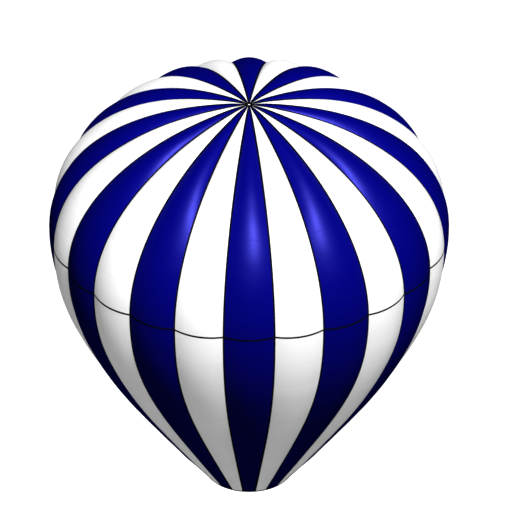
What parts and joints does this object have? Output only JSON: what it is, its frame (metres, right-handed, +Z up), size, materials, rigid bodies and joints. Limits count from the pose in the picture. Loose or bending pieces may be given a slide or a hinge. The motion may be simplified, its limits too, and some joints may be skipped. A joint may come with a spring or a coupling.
{
  "type": "hot air balloon envelope",
  "caption": "Inflated balloon envelope of blue and white fabric gores with black load tapes, a belt at its widest line, a crown ring and a round open mouth.",
  "frame": {"origin": "centre of the mouth, in the plane of its rim", "axes": "+Z up along the envelope's own axis, towards the crown; the front blue gore faces -Y"},
  "size_m": [16.6116, 16.6116, 18.4023],
  "materials": {
    "blue_fabric": "coated woven nylon with a soft sheen",
    "white_fabric": "coated woven nylon with a soft sheen",
    "black_webbing": "matt woven webbing",
    "dark_aluminium": "dark anodised"
  },
  "bodies": {
    "root": {"gore_upper_01": "blue_fabric", "gore_upper_02": "white_fabric", "gore_upper_03": "blue_fabric", "gore_upper_04": "white_fabric", "gore_upper_05": "blue_fabric", "gore_upper_06": "white_fabric", "gore_upper_07": "blue_fabric", "gore_upper_08": "white_fabric", "gore_upper_09": "blue_fabric", "gore_upper_10": "white_fabric", "gore_upper_11": "blue_fabric", "gore_upper_12": "white_fabric", "gore_upper_13": "blue_fabric", "gore_upper_14": "white_fabric", "gore_upper_15": "blue_fabric", "gore_upper_16": "white_fabric", "gore_upper_17": "blue_fabric", "gore_upper_18": "white_fabric", "gore_upper_19": "blue_fabric", "gore_upper_20": "white_fabric", "gore_upper_21": "blue_fabric", "gore_upper_22": "white_fabric", "gore_upper_23": "blue_fabric", "gore_upper_24": "white_fabric", "gore_lower_01": "blue_fabric", "gore_lower_02": "white_fabric", "gore_lower_03": "blue_fabric", "gore_lower_04": "white_fabric", "gore_lower_05": "blue_fabric", "gore_lower_06": "white_fabric", "gore_lower_07": "blue_fabric", "gore_lower_08": "white_fabric", "gore_lower_09": "blue_fabric", "gore_lower_10": "white_fabric", "gore_lower_11": "blue_fabric", "gore_lower_12": "white_fabric", "gore_lower_13": "blue_fabric", "gore_lower_14": "white_fabric", "gore_lower_15": "blue_fabric", "gore_lower_16": "white_fabric", "gore_lower_17": "blue_fabric", "gore_lower_18": "white_fabric", "gore_lower_19": "blue_fabric", "gore_lower_20": "white_fabric", "gore_lower_21": "blue_fabric", "gore_lower_22": "white_fabric", "gore_lower_23": "blue_fabric", "gore_lower_24": "white_fabric", "load_tapes": "black_webbing", "equator_belt": "black_webbing", "mouth_hem": "black_webbing", "crown_cap": "white_fabric", "crown_ring": "dark_aluminium"}
  },
  "joints": []
}
